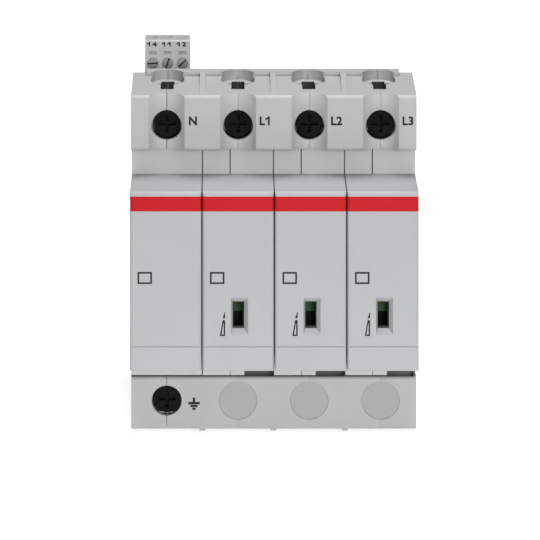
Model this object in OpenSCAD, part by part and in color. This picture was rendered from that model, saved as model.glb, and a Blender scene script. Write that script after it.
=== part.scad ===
// Din rail surge arrester with four plug-in cartridges and a plug-in signal connector.
// Millimetres. X runs along the rail, the front faces -Y and Z is up.
// The origin lies on the rail's front plane, on the rail's centre line.
// Depths are distances in front of that plane.

/* [Housing] */
// Width of one pole
pole_pitch = 17.8; // [17.6:0.1:18.4]
// Depth of the upper shoulder's front face
upper_front = 45; // [44:0.5:48]
// Depth of the lower shoulder's front face
lower_front = 42.6; // [42.2:0.2:46]
// Half height of the bay that holds the cartridges
bay_half = 28.5; // [28.4:0.1:30]
// Height of the upper shoulder at its front edge
shoulder_h = 13.8; // [13.6:0.1:14.4]
// How much the top face rises to the back
top_rise = 0.7; // [0.4:0.1:1]
// Height of the crest behind the wire entries, over the top face's front edge
crest_rise = 1.65; // [1.45:0.1:3]
// Height of the lower shoulder
lower_h = 13.1; // [12.9:0.1:15]
// Depth of the bay's floor
bay_floor = 12; // [11.8:0.1:12.6]
// Thickness of the wall between two bays
partition = 2; // [1.6:0.1:2.2]
// Gap between two housing shells
seam = 0.03; // [0.02:0.01:0.1]
// Gap between the two shells at the neutral pole
neutral_seam = 0.12; // [0.05:0.01:0.2]
// Radius on the housing's front edges
edge_round = 0.8; // [0.3:0.1:1.2]

/* [Rail] */
// Half height of the mounting rail
rail_half = 17.5; // [17.3:0.1:17.7]
// How far the feet reach behind the rail's front plane
foot_back = 6.8; // [6:0.2:9]
// How far the fixed hook grips behind the rail
hook_reach = 1.6; // [1:0.1:2]
// Room for the rail's lip between the seat and the hook
lip_room = 1.4; // [1.2:0.1:1.8]
// Width of a rail latch
latch_w = 9.8; // [8:0.2:11]
// Travel of a rail latch
latch_travel = 3.5; // [2.5:0.1:4]

/* [Terminals] */
// Distance of the terminal screws from the bay
screw_rise = 5.9; // [5.7:0.1:6.3]
// Radius of the round screw holes
screw_hole_r = 3.75; // [3.6:0.05:4]
// Radius of a terminal screw's head
screw_head_r = 3.4; // [2.8:0.1:3.5]
// Radius of a terminal screw's shank
screw_shank_r = 2.45; // [2:0.05:2.6]
// Width of the scooped channel round each upper screw hole
scoop_w = 9; // [8:0.2:10]
// Depth of that channel
scoop_depth = 2.4; // [1.5:0.1:2.6]
// Radius of a wire entry's front edge
wire_r = 4.2; // [3.8:0.1:4.4]
// Width of the slot for a comb busbar
comb_slot_w = 3.3; // [2.6:0.1:4]
// Thickness of the contact strips
strip_t = 1.2; // [0.8:0.1:1.3]
// Radius of the blanking plugs
plug_disc_r = 4.7; // [4:0.1:5]
// Travel of a clamp cage
cage_travel = 3.2; // [2:0.1:3.3]

/* [Cartridges] */
// Depth of the cartridges' front faces
cap_front = 58; // [56:0.5:62]
// Top of a cartridge's front cap
cap_top = 21.6; // [20:0.2:23]
// Bottom of a cartridge's front cap, below the rail's centre line
cap_bottom = 22.5; // [21:0.1:23]
// Gap between two cartridges
cap_gap = 0.25; // [0.2:0.05:0.6]
// Depth of the face above and below the cap
flange_front = 40; // [39.8:0.1:41]
// Thickness of a front cap's front wall
cap_wall = 2; // [1.8:0.1:2.6]
// Radius on a front cap's edges
cap_round = 0.7; // [0.3:0.1:1.2]
// Wall of a cartridge body
body_wall = 1.1; // [0.8:0.1:1.2]
// Distance of a phase cartridge's seam from its left side
seam_offset = 6.8; // [6.4:0.1:7.2]
// Gap between the two halves of a phase cartridge
half_gap = 0.1; // [0.05:0.05:0.2]
// Width of the indicator window
window_w = 2.3; // [1.6:0.1:3]
// Height of the indicator window
window_h = 5.7; // [4:0.1:6.5]
// Distance of the window's middle below the rail's centre line
window_drop = 8.9; // [8.5:0.1:9.5]
// Depth of the slopes round the window
window_deep = 1.75; // [1:0.05:1.8]
// Width of the slope on the window's left side
window_left = 0.6; // [0.4:0.1:1.8]
// Width of the slope on its right side
window_right = 1.3; // [0.4:0.1:1.8]
// Height of the slopes above and below it
window_slope = 1.7; // [1:0.1:1.8]
// Thickness of the plug blades
blade_t = 1; // [0.8:0.1:1]

/* [Signal connector] */
// Width of the connector
plug_w = 11.6; // [11.4:0.1:12]
// Depth of its front face
plug_front = 13; // [12.8:0.1:13.2]
// Size of its body from front to back
plug_depth = 6.4; // [6.2:0.1:6.6]
// Height of the connector's body
plug_h = 9.3; // [9:0.1:12]
// Distance between two of its ways
plug_pitch = 3.81; // [3.5:0.01:3.81]
// Radius of its screw heads
plug_screw_r = 1.35; // [1:0.05:1.4]
// Radius of its wire holes
plug_wire_r = 1.25; // [1:0.05:1.3]

/* [Hidden] */
$fn = 48;
POLES = ["n", "l1", "l2", "l3"];
WAYS = ["14", "11", "12"];

// Clearances and cuts
fit = 0.1;
slide_fit = 0.2;
over = 0.5;
shank_fit = 0.05;

// Housing
width = 4 * pole_pitch;
top_front = bay_half + shoulder_h;
top_back = top_front + top_rise;
crest_top = top_front + crest_rise;
underside = bay_half + lower_h;
ledge_rise = 7.5;
ledge_z = bay_half + ledge_rise;
ledge_front = 22;
crest_t = 4;
crest_half = 32.1;
rib_w = 1.45;
foot_top = 22;
nib_t = 2.8;
relief = 0.3;
relief_gap = 0.5;
relief_z = rail_half - hook_reach - relief_gap;
foot_gap = 1.4;
foot_rise = 8.5;
lower_foot = bay_half + foot_rise;
belly_back = 14;
bottom_rib = 0.5;
rib_inset = 0.6;
partition_gap = 2.4;
partition_front = flange_front - partition_gap;

// Terminals
screw_z = bay_half + screw_rise;
room_half = 5.4;
room_back = 24.4;
bay_wall = 1.2;
room_low = bay_half + bay_wall;
room_h = 10.6;
room_high = room_low + room_h;
shelf_t = 1;
shelf_z = room_high + shelf_t;
wire_y = 30.3;
earth_wire_y = 29.3;
shelf_front = 26.9;
scoop_y = 26.65;
scoop_back_r = 3.85;
comb_front = 38.8;
strip_half = 2.9;
bar_front = 33.4;
bar_gap = 0.7;
bar_top = room_high - bar_gap;
strip_low = room_low + slide_fit;
clip_back = 4;
clip_low = 16;
clip_high = 24;
clip_front = 11;
jaw_t = 0.9;
jaw_gap = blade_t / 2 + shank_fit;
jaw_flare = 0.3;
jaw_mouth = 0.8;
clip_room = 1;
blade_room = 0.4;
screw_tip = bar_front + fit;
cage_half = 5;
cage_wall = 1.3;
cage_nut = 1.5;
cage_front = 35.2;
cage_back = 24.6;
cage_gap = 0.3;
cage_low = strip_low + strip_t + cage_gap;
cage_h = 8;
cage_high = cage_low + cage_h;
head_t = 2.4;
head_front = cage_front + cage_travel + slide_fit + head_t;
room_front = head_front + slide_fit;
drive_w = 0.9;
drive_l = 4.4;
drive_deep = 1.5;

// Contacts in the back plate
bus_front = clip_back;
bus_t = 1.2;
bus_gap = 0.5;
bus_low = -bay_half + bus_gap;
bus_h = 3;
riser_in = 4.3;
riser_x = pole_x(0) + riser_in;
riser_w = 3;
rivet_up = 2.5;
rivet_down = 3.5;
rivet_foot_z = 28;
rail_rivets = [[3.2, rivet_foot_z], [-6, -strip_low - strip_t - rivet_down],
    [-17.5, strip_low + strip_t + rivet_up]];
rivet_r = 0.9;
rivet_head_r = 1.8;
rivet_head_t = 0.5;

// Pry slot and mark in front of a phase cartridge
pry_left = 1.6;
pry_wall = 0.6;
pry_step = 1.6;
pry_shallow = 1.3;
pry_deep = 5.5;
pry_back = 36.5;
disc_t = 1.2;
disc_sink = 0.1;
disc_gap = 0.05;

// Rail latches
latch_front = lip_room + slide_fit;
latch_t = 2.8;
latch_top = rail_half - hook_reach;
tail_drop = 6.4;
latch_tail = lower_foot + tail_drop;
tongue_w = 1;
tongue_low = 32;
tongue_high = 22;
pull_low = 1.2;
pull_high = 2.8;

// Cartridges
cap_w = pole_pitch - cap_gap;
body_half = (pole_pitch - partition) / 2 - slide_fit;
body_high = bay_half - 2 * slide_fit;
body_back = bay_floor + 2 * slide_fit;
flange_t = 1.6;
lip_step = 0.2;
lip_front = lower_front - lip_step;
split = -cap_w / 2 + seam_offset;
cap_side = 1.3;
blade_mid = (clip_low + clip_high) / 2;
blade_half = 3;
blade_gap = 3.6;
blade_tip = clip_back + blade_gap;
tab_y = 15.5;
tab_t = 1.2;
tab_down = 4;
tab_up = 3;
tab_end = 1;
mark_z = -16.4;
mark_w = 0.3;
mark_deep = 0.2;
band_low = 16.8;
band_high = 20.45;
band_deep = 0.15;
band_wrap = 0.5;
block_x = [-1.4, 6.3];
block_back = 17.7;
block_high = 19;
block_gap = 2;
pivot_y = -18;
pivot_z = 6;
pivot_r = 1;
pin_end = 0.4;
lever_x = [-6.3, -4.3];
lever_reach = 19;
lever_rise = 10;
lever_half = 1.2;
hub_r = 2.4;
fork_room = 0.25;
fork_prong = 2.2;
flag_front = 50;
flag_t = 1;
flag_half = 2.2;
flag_low = -9.9;
flag_drop = 6;
flag_room = 1;
corner_h = 3;
gap_play = 0.6;
gap_r = body_half - body_wall - gap_play;
gap_half = 15;
gap_post = 1;

// Signal connector
plug_shift = 0.3;
plug_x = pole_x(0) - plug_shift;
way_x = [for (k = [-1:1]) plug_x + k * plug_pitch];
board_gap = 1.5;
board_low = strip_low + strip_t + board_gap;
board_t = 1;
plug_skirt = 0.7;
skirt_h = 5.5;
foot_room = 0.9;
plug_foot = board_low + board_t + foot_room;
plug_floor = plug_foot + skirt_h;
plug_top = plug_floor + plug_h;
pin_back = 3.4;
pin_y = -plug_front + pin_back;
pin_w = 0.9;
pin_top = plug_floor - 2 * slide_fit;
header_wall = 0.7;
header_top = plug_floor - slide_fit;
plug_cage_half = 1.4;
plug_cage_wall = 0.35;
plug_cage_nut = 0.7;
plug_cage_back = 0.4;
plug_cage_travel = 0.5;
plug_cage_l = 4.4;
plug_cage_h = 3.8;
plug_cage_rise = 1.4;
plug_cage_low = plug_floor + plug_cage_rise;
plug_cage_high = plug_cage_low + plug_cage_h;
plug_screw_z = (plug_cage_low + plug_cage_high) / 2;
plug_head_t = 0.6;
plug_screw_sink = 0.05;
plug_cage_front = plug_front - plug_screw_sink - plug_head_t - plug_cage_travel - fit;
plug_bar_t = 0.5;
plug_bar_half = 0.8;
plug_bar_front = plug_cage_front - plug_cage_nut - fit;
wire_back = 3.9;
way_y = -plug_front + wire_back;
slit_rise = 0.8;
slit_z = plug_cage_high + slit_rise;
slit_w = 2;
slit_h = 1;
slit_deep = 0.35;
socket_half = 0.95;
socket_rise = 0.7;
plug_slot_w = 0.4;
plug_slot_deep = 0.4;
plug_slot_turns = [4, 72, 45];
switch_in = 3.9;
switch_w = 3.9;
switch_x = [pole_x(0) + switch_in, pole_x(0) + switch_in + switch_w];
switch_y = [-10.5, -4.9];
switch_h = 6.6;
switch_low = board_low - switch_h;
button_r = 0.8;
bar_y = [-9, -5.6];
bar_half = 2;
bar_right = 30;
bar_arm_w = 2.4;
bar_travel = 1.2;

function pole_x(i) = (i - 1.5) * pole_pitch;
function seam_half(i) = (i == 0 ? neutral_seam : seam) / 2;

// Helpers

// A block between two corners given by axis
module block(x, y, z) {
    translate([x[0], y[0], z[0]]) cube([x[1] - x[0], y[1] - y[0], z[1] - z[0]]);
}

// A profile drawn in Y and Z, drawn out along X
module across(x) {
    translate([x[0], 0, 0]) rotate([90, 0, 90]) linear_extrude(x[1] - x[0]) children();
}

// A round bar along Y
module along_y(x, y, z, r) {
    translate([x, y[0], z]) rotate([-90, 0, 0]) cylinder(r = r, h = y[1] - y[0]);
}

// A round bar along X
module along_x(x, y, z, r) {
    translate([x[0], y, z]) rotate([0, 90, 0]) cylinder(r = r, h = x[1] - x[0]);
}

// What a round edge of radius r leaves out at corner p, where side points outwards
module edge_cut(p, r, side) {
    translate(p) mirror([side[0] < 0 ? 1 : 0, 0]) mirror([0, side[1] < 0 ? 1 : 0])
        translate([-r, -r]) difference() {
            square(r + over);
            circle(r);
        }
}

// The round outside of a bent strip, whose inner corner is at p
module bend(p, r, side) {
    translate(p) intersection() {
        circle(r);
        translate([side[0] < 0 ? -r : 0, side[1] < 0 ? -r : 0]) square(r);
    }
}

// Housing shells

// Side outline of the housing, without the bay
module housing_outline() {
    difference() {
        polygon([
            [-upper_front, bay_half], [-upper_front, top_front], [-ledge_front, top_back],
            [-ledge_front, ledge_z], [foot_back, ledge_z], [foot_back, foot_top],
            [lip_room + nib_t, rail_half - hook_reach], [lip_room, rail_half - hook_reach],
            [lip_room, rail_half + relief], [-relief, rail_half + relief], [-relief, relief_z], [0, relief_z],
            [0, -relief_z], [-relief, -relief_z], [-relief, -rail_half - foot_gap],
            [foot_back, -rail_half - foot_gap], [foot_back, -lower_foot], [-belly_back, -lower_foot],
            [-belly_back, -underside], [-lower_front, -underside], [-lower_front, -bay_half],
            [-bay_floor, -bay_half], [-bay_floor, bay_half]]);
        edge_cut([-upper_front, top_front], edge_round, [-1, 1]);
        edge_cut([-upper_front, bay_half], edge_round, [-1, -1]);
        edge_cut([-lower_front, -bay_half], edge_round, [-1, 1]);
        edge_cut([-lower_front, -underside], edge_round, [-1, -1]);
    }
}

// Side outline of the wall between two bays
module partition_outline() {
    translate([-partition_front, -bay_half]) square([partition_front - bay_floor, 2 * bay_half]);
}

// Side outline of the crest behind the wire entries
module crest_outline() {
    translate([-ledge_front - crest_t, ledge_z]) square([crest_t, crest_top - ledge_z]);
}

// Side outline of the sloping rib between two wire entries
module rib_outline() {
    polygon([
        [-upper_front + edge_round, top_front - edge_round], [-upper_front + edge_round, top_front],
        [-ledge_front - crest_t, crest_top], [-ledge_front - crest_t, top_front - edge_round]]);
}

// The upper terminal's room, its screw hole and scoop, and its wire entry
module upper_terminal_cuts(x) {
    scoop_r = (scoop_w * scoop_w / 4 + scoop_depth * scoop_depth) / (2 * scoop_depth);
    translate([x, -upper_front + scoop_depth - scoop_r, bay_half - over])
        cylinder(r = scoop_r, h = crest_top - bay_half, $fn = 96);
    along_y(x, [-upper_front - over, -room_front + over], screw_z, screw_hole_r);
    block([x - room_half, x + room_half], [-room_front, -room_back], [room_low, room_high]);
    intersection() {
        translate([x, -wire_y, room_high - over]) cylinder(r = wire_r, h = crest_top);
        block([x - wire_r, x + wire_r], [-comb_front, -shelf_front], [room_high - over, crest_top + over]);
    }
    block([x - comb_slot_w / 2, x + comb_slot_w / 2], [-comb_front, -room_back],
        [room_high - over, crest_top + over]);
    block([x - wire_r, x + wire_r], [-wire_y, -scoop_y], [shelf_z, crest_top + over]);
    translate([x, -scoop_y, shelf_z]) cylinder(r = scoop_back_r, h = crest_top);
}

// The earth terminal's room, with plain round holes for its screw and its wire
module earth_terminal_cuts(x) {
    along_y(x, [-lower_front - over, -room_front + over], -screw_z, screw_hole_r);
    block([x - room_half, x + room_half], [-room_front, -room_back], [-room_high, -room_low]);
    translate([x, -earth_wire_y, -underside - over])
        cylinder(r = wire_r, h = underside - room_high + 2 * over);
}

// The way of a bent contact strip from its terminal room to its clip, above (side 1) or below (side -1)
module contact_cuts(x, side) {
    mirror([0, 0, side < 0 ? 1 : 0]) {
        block([x - strip_half - fit, x + strip_half + fit], [-room_back - over, -clip_back + fit],
            [strip_low - slide_fit, strip_low + strip_t + slide_fit]);
        clip_cuts(x, strip_low + strip_t + slide_fit, clip_back);
    }
}

// The room of a spring clip in the back plate, and the slot for a blade
module clip_cuts(x, high, back) {
    block([x - strip_half - fit, x + strip_half + fit], [-clip_front - slide_fit, -back + fit],
        [clip_low - clip_room, high]);
    block([x - jaw_gap - blade_room, x + jaw_gap + blade_room], [-bay_floor - over, -clip_front],
        [blade_mid - blade_half - blade_room, blade_mid + blade_half + blade_room]);
}

// The way of the neutral busbar through the back plate
module busbar_cuts() {
    y = [-bus_front - fit, -bus_front + bus_t + fit];
    block([riser_x - slide_fit, pole_x(3) + strip_half + slide_fit], y,
        [bus_low - slide_fit, bus_low + bus_h + slide_fit]);
    block([riser_x - slide_fit, riser_x + riser_w + slide_fit], y,
        [bus_low - slide_fit, -bus_low + slide_fit]);
    block([pole_x(0) - slide_fit, riser_x + riser_w + slide_fit], y,
        [-bus_low - bus_h - slide_fit, -bus_low + slide_fit]);
}

// The room of the signal board, its switch and the bar that presses it
module signal_cuts() {
    block([plug_x - plug_w / 2 - header_wall - slide_fit, switch_x[1] + slide_fit],
        [-plug_front - header_wall - slide_fit, -clip_back + over], [board_low, ledge_z + over]);
    block([switch_x[0] - slide_fit, switch_x[1] + slide_fit],
        [switch_y[0] - slide_fit, switch_y[1] + slide_fit], [switch_low - clip_room, board_low + over]);
    y = [bar_y[0] - slide_fit, bar_y[1] + slide_fit];
    block([switch_x[0] - slide_fit, bar_right + bar_travel + slide_fit], y,
        [-bar_half - slide_fit, bar_half + slide_fit]);
    block([switch_x[0] - slide_fit, switch_x[0] + bar_arm_w + bar_travel + slide_fit], y, [0, switch_low]);
}

// The channel of a rail latch, with a groove for its side tongues
module latch_cuts(x) {
    y = [latch_front - slide_fit, foot_back + over];
    block([x - latch_w / 2 - slide_fit, x + latch_w / 2 + slide_fit], y, [-lower_foot - over, -rail_half]);
    block([x - latch_w / 2 - tongue_w - slide_fit, x + latch_w / 2 + tongue_w + slide_fit],
        [latch_front + latch_t / 4 - slide_fit, latch_front + 3 * latch_t / 4 + slide_fit],
        [-tongue_low - latch_travel - slide_fit, -tongue_high + slide_fit]);
}

// The pry slot beside a phase cartridge's lower edge, and the seat of a blanking plug
module lower_face_cuts(x) {
    right = min(x + pole_pitch / 2, width / 2 - pry_wall);
    block([x + pry_left, right], [-lower_front + pry_wall, -lower_front + pry_step + over],
        [-bay_half - pry_shallow, -bay_half + over]);
    block([x + pry_left, right], [-lower_front + pry_step, -pry_back],
        [-bay_half - pry_deep, -bay_half + over]);
    along_y(x, [-lower_front - over, -lower_front + disc_t + disc_sink], -screw_z, plug_disc_r + disc_gap);
}

// Everything cut out of the housing round one pole
module pole_cuts(i) {
    x = pole_x(i);
    upper_terminal_cuts(x);
    contact_cuts(x, 1);
    if (i == 0) {
        earth_terminal_cuts(x);
        contact_cuts(x, -1);
    } else {
        lower_face_cuts(x);
        mirror([0, 0, 1]) clip_cuts(x, -bus_low + slide_fit, clip_back - bus_t);
    }
    if (i == 0 || i == 3) latch_cuts(x);
}

// Holes for the long rivets, with seats for their heads on both ends
module rivet_cuts() {
    for (p = rail_rivets) {
        along_x([-width / 2 - over, width / 2 + over], p[0], p[1], rivet_r + fit);
        for (side = [-1, 1])
            along_x([side * width / 2 - rivet_head_t, side * width / 2 + rivet_head_t],
                p[0], p[1], rivet_head_r + slide_fit);
    }
}

// One housing shell from x[0] to x[1], with the cuts of the poles that it borders
module base_shell(x, poles) {
    color("gainsboro") difference() {
        union() {
            across(x) housing_outline();
            across([max(x[0], -crest_half), min(x[1], crest_half)]) crest_outline();
            for (k = [-1:1]) {
                edge = k * pole_pitch;
                if (edge > x[0] && edge < x[1]) {
                    across([edge - partition / 2, edge + partition / 2]) partition_outline();
                    across([edge - rib_w / 2, edge + rib_w / 2]) rib_outline();
                    block([edge - rib_w / 2, edge + rib_w / 2], [-lower_front + rib_inset, -belly_back],
                        [-underside - bottom_rib, -underside + over]);
                }
            }
            for (side = [-1, 1])
                if (side * width / 2 == x[side < 0 ? 0 : 1])
                    across([min(side * width / 2, side * (width - partition) / 2),
                        max(side * width / 2, side * (width - partition) / 2)]) partition_outline();
        }
        for (i = poles) pole_cuts(i);
        busbar_cuts();
        signal_cuts();
        rivet_cuts();
    }
}

module base_shell_left() {
    base_shell([-width / 2, pole_x(0) - seam_half(0)], [0]);
}

module base_shell_middle(k) {
    base_shell([pole_x(k - 1) + seam_half(k - 1), pole_x(k) - seam_half(k)], [k - 1, k]);
}

module base_shell_right() {
    base_shell([pole_x(3) + seam_half(3), width / 2], [3]);
}

// Rivets that hold the shells together
module shell_rivets() {
    color("silver") for (p = rail_rivets) {
        along_x([-width / 2, width / 2], p[0], p[1], rivet_r);
        for (side = [-1, 1])
            translate([side * (width - rivet_head_t) / 2, 0, 0])
                along_x([-rivet_head_t / 2, rivet_head_t / 2], p[0], p[1], rivet_head_r);
    }
}

// Discs that close the unused lower screw holes
module blanking_plugs() {
    color("silver") for (i = [1:3])
        along_y(pole_x(i), [-lower_front + disc_sink, -lower_front + disc_sink + disc_t], -screw_z,
            plug_disc_r);
}

// Terminals

// Turns an upper terminal's piece into the lower one
module flip(side) {
    mirror([0, 0, side < 0 ? 1 : 0]) children();
}

// Screw with a cross recess in its head
module terminal_screw(i, side) {
    x = pole_x(i);
    color("dimgray") flip(side) difference() {
        union() {
            along_y(x, [-head_front, -head_front + head_t], screw_z, screw_head_r);
            along_y(x, [-head_front + head_t, -screw_tip], screw_z, screw_shank_r);
        }
        for (turn = [0, 90])
            translate([x, -head_front, screw_z]) rotate([0, turn, 0])
                cube([drive_l, 2 * drive_deep, drive_w], center = true);
    }
}

// Cage that the screw draws forward, so that it grips the wire against the bar
module clamp_cage(i, side) {
    x = pole_x(i);
    color("goldenrod") flip(side) difference() {
        block([x - cage_half, x + cage_half], [-cage_front, -cage_back], [cage_low, cage_high]);
        block([x - cage_half + cage_wall, x + cage_half - cage_wall],
            [-cage_front + cage_nut, -cage_back - cage_wall], [cage_low - over, cage_high + over]);
        along_y(x, [-cage_front - over, -cage_front + cage_nut + over], screw_z, screw_shank_r + shank_fit);
    }
}

// The two springy jaws that grip a blade
module clip_jaws(x, back) {
    for (side = [-1, 1])
        translate([x, 0, clip_low]) linear_extrude(clip_high - clip_low) mirror([side < 0 ? 1 : 0, 0])
            polygon([
                [jaw_gap, -back], [jaw_gap, -clip_front + jaw_mouth], [jaw_gap + jaw_flare, -clip_front],
                [jaw_gap + jaw_flare + jaw_t, -clip_front], [jaw_gap + jaw_t, -clip_front + jaw_mouth],
                [jaw_gap + jaw_t, -back]]);
}

// Bent strip from the clamp's bar to the clip
module contact_strip(i, side) {
    x = pole_x(i);
    low = strip_low;
    high = strip_low + strip_t;
    color("darkorange") flip(side) {
        across([x - strip_half, x + strip_half]) {
            translate([-bar_front, high]) square([strip_t, bar_top - high]);
            bend([-bar_front + strip_t, high], strip_t, [-1, -1]);
            translate([-bar_front + strip_t, low]) square([bar_front - clip_back - 2 * strip_t, strip_t]);
            bend([-clip_back - strip_t, low], strip_t, [1, 1]);
            translate([-clip_back - strip_t, clip_low - over]) square([strip_t, low - clip_low + over]);
        }
        clip_jaws(x, clip_back + strip_t / 2);
    }
}

// Flat busbar that joins the lower clips to the neutral contact
module neutral_busbar() {
    y = [-bus_front, -bus_front + bus_t];
    color("orange") {
        block([riser_x, pole_x(3) + strip_half], y, [bus_low, bus_low + bus_h]);
        block([riser_x, riser_x + riser_w], y, [bus_low, -bus_low]);
        block([pole_x(0), riser_x + riser_w], y, [-bus_low - bus_h, -bus_low]);
        for (i = [1:3]) {
            block([pole_x(i) - strip_half, pole_x(i) + strip_half], y, [bus_low, -clip_low + over]);
            mirror([0, 0, 1]) clip_jaws(pole_x(i), bus_front - bus_t / 2);
        }
    }
}

// Sliding latch that grips behind the rail's lower lip
module rail_latch(i) {
    x = pole_x(i);
    half = latch_w / 2;
    y = [latch_front, latch_front + latch_t];
    color("lightgray") difference() {
        union() {
            across([x - half, x + half]) polygon([
                [y[0], -latch_top], [y[0], -latch_tail], [y[1], -latch_tail],
                [y[1], -latch_top - latch_t / 2], [y[0] + latch_t / 2, -latch_top]]);
            block([x - half - tongue_w, x + half + tongue_w],
                [y[0] + latch_t / 4, y[0] + 3 * latch_t / 4], [-tongue_low, -tongue_high]);
        }
        block([x - half / 2, x + half / 2], [y[0] - over, y[1] + over],
            [-latch_tail + pull_low, -latch_tail + pull_high]);
    }
}

// Signal contact

module signal_board() {
    color("seagreen")
        block([plug_x - plug_w / 2 - header_wall, switch_x[1]], [-plug_front - header_wall, -clip_back],
            [board_low, board_low + board_t]);
}

// Open pin header with its three pins
module signal_header() {
    x = [plug_x - plug_w / 2 + plug_skirt - slide_fit, plug_x + plug_w / 2 - plug_skirt + slide_fit];
    y = [-plug_front + plug_skirt - slide_fit, -plug_front + plug_depth - plug_skirt + slide_fit];
    low = board_low + board_t;
    color("darkseagreen") {
        difference() {
            block([x[0] - header_wall, x[1] + header_wall], [y[0] - header_wall, y[1] + header_wall],
                [low, header_top]);
            block(x, y, [plug_foot - slide_fit, header_top + over]);
        }
        for (w = way_x)
            block([w - pin_w / 2, w + pin_w / 2], [pin_y - pin_w / 2, pin_y + pin_w / 2], [low, pin_top]);
    }
}

module signal_switch() {
    mid = switch_x[0] + bar_arm_w / 2;
    color("black") {
        block(switch_x, switch_y, [switch_low, board_low]);
        translate([mid, (bar_y[0] + bar_y[1]) / 2, switch_low - button_r / 2])
            cylinder(r = button_r, h = button_r);
    }
}

// Bar behind the bays, with the arm that reaches the switch
module signal_bar() {
    top = switch_low - button_r / 2 - slide_fit;
    color("white") {
        block([switch_x[0], bar_right], bar_y, [-bar_half, bar_half]);
        block([switch_x[0], switch_x[0] + bar_arm_w], bar_y, [-bar_half, top]);
    }
}

// Moulded connector body
module signal_plug() {
    x = [plug_x - plug_w / 2, plug_x + plug_w / 2];
    y = [-plug_front, -plug_front + plug_depth];
    color("lightgray") difference() {
        union() {
            difference() {
                block(x, y, [plug_floor, plug_top]);
                across([x[0] - over, x[1] + over]) edge_cut([y[0], plug_top], edge_round / 2, [-1, 1]);
            }
            block([x[0] + plug_skirt, x[1] - plug_skirt], [y[0] + plug_skirt, y[1] - plug_skirt],
                [plug_foot, plug_floor + over]);
        }
        for (w = way_x) {
            block([w - socket_half - fit, w + socket_half + fit],
                [-plug_bar_front - fit, pin_y + socket_half + fit], [plug_foot - over, plug_cage_low]);
            block([w - plug_cage_half - fit, w + plug_cage_half + fit],
                [-plug_cage_front - plug_cage_travel - fit, -plug_cage_front + plug_cage_l + fit],
                [plug_cage_low - fit, plug_cage_high + fit]);
            translate([w, way_y, plug_cage_high]) cylinder(r = plug_wire_r, h = plug_top);
            along_y(w, [y[0] - over, -plug_cage_front], plug_screw_z, plug_screw_r + fit);
            block([w - slit_w / 2, w + slit_w / 2], [y[0] - over, y[0] + slit_deep],
                [slit_z - slit_h / 2, slit_z + slit_h / 2]);
        }
    }
}

// Contacts inside the connector: a socket for each pin, and the bar that the wire is gripped against
module signal_contacts() {
    color("orange") for (w = way_x) difference() {
        union() {
            block([w - socket_half, w + socket_half], [pin_y - socket_half, pin_y + socket_half],
                [plug_foot + socket_rise, plug_cage_low - fit]);
            block([w - plug_bar_half, w + plug_bar_half], [-plug_bar_front, -plug_bar_front + plug_bar_t],
                [plug_foot + socket_rise, plug_cage_high]);
        }
        block([w - pin_w / 2 - fit, w + pin_w / 2 + fit], [pin_y - pin_w / 2 - fit, pin_y + pin_w / 2 + fit],
            [plug_foot, pin_top + fit]);
    }
}

// Small cage that the screw draws forward
module signal_cage(k) {
    x = way_x[k];
    y = [-plug_cage_front, -plug_cage_front + plug_cage_l];
    inner = plug_cage_half - plug_cage_wall;
    color("silver") difference() {
        block([x - plug_cage_half, x + plug_cage_half], y, [plug_cage_low, plug_cage_high]);
        block([x - inner, x + inner], [y[0] + plug_cage_nut, y[1] - plug_cage_back],
            [plug_cage_low - over, plug_cage_high + over]);
        along_y(x, [y[0] - over, y[0] + plug_cage_nut + over], plug_screw_z, plug_screw_r / 2 + shank_fit);
    }
}

// Small slotted screw
module signal_screw(k) {
    x = way_x[k];
    head = [-plug_front + plug_screw_sink, -plug_front + plug_screw_sink + plug_head_t];
    color("silver") difference() {
        union() {
            along_y(x, head, plug_screw_z, plug_screw_r);
            along_y(x, [head[1], -plug_bar_front - fit / 2], plug_screw_z, plug_screw_r / 2);
        }
        translate([x, head[0], plug_screw_z]) rotate([0, -plug_slot_turns[k], 0])
            cube([3 * plug_screw_r, 2 * plug_slot_deep, plug_slot_w], center = true);
    }
}

// Cartridges

// The face at the front of a cartridge body, and the slimmer body behind it
module body_outer(x, from, to) {
    block([x + max(from, -body_half), x + min(to, body_half)], [-flange_front + flange_t, -body_back],
        [-body_high, body_high]);
    block([x + from, x + to], [-flange_front, -flange_front + flange_t], [-body_high, body_high]);
    block([x + from, x + to], [-lip_front, -flange_front + over], [-body_high, -cap_bottom]);
}

// The hollow inside a cartridge body, and the slots for its blades
module body_inner(x, from, to) {
    block([x + from, x + to], [-flange_front + body_wall, -body_back - body_wall],
        [-body_high + body_wall, body_high - body_wall]);
    for (side = [-1, 1])
        block([x - blade_t / 2 - fit, x + blade_t / 2 + fit],
            [-body_back - body_wall - over, -body_back + over],
            [side * blade_mid - blade_half - fit, side * blade_mid + blade_half + fit]);
}

// Left half of a phase cartridge, with the lever's pivot pin
module cartridge_left(i) {
    x = pole_x(i);
    wall = -body_half + body_wall;
    color("whitesmoke") {
        difference() {
            body_outer(x, -cap_w / 2, split - half_gap / 2);
            body_inner(x, wall, split + over);
            block([x + lever_x[0] - slide_fit, x + lever_x[1] + slide_fit],
                [-flange_front - over, -flange_front + body_wall + over],
                [pivot_z - fork_prong - lever_half - flag_drop - flag_room,
                    pivot_z + fork_prong + lever_half + flag_room]);
        }
        along_x([x + wall - over, x + lever_x[1] + pin_end], pivot_y, pivot_z, pivot_r);
    }
}

// Right half of a phase cartridge, open at its lower corner beside the pry slot
module cartridge_right(i) {
    x = pole_x(i);
    color("whitesmoke") difference() {
        body_outer(x, split + half_gap / 2, cap_w / 2);
        body_inner(x, split - over, body_half - body_wall);
        block([x + pry_left, x + cap_w / 2 + over], [-lip_front - over, -flange_front + flange_t],
            [-body_high - over, -body_high + corner_h]);
    }
}

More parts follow.
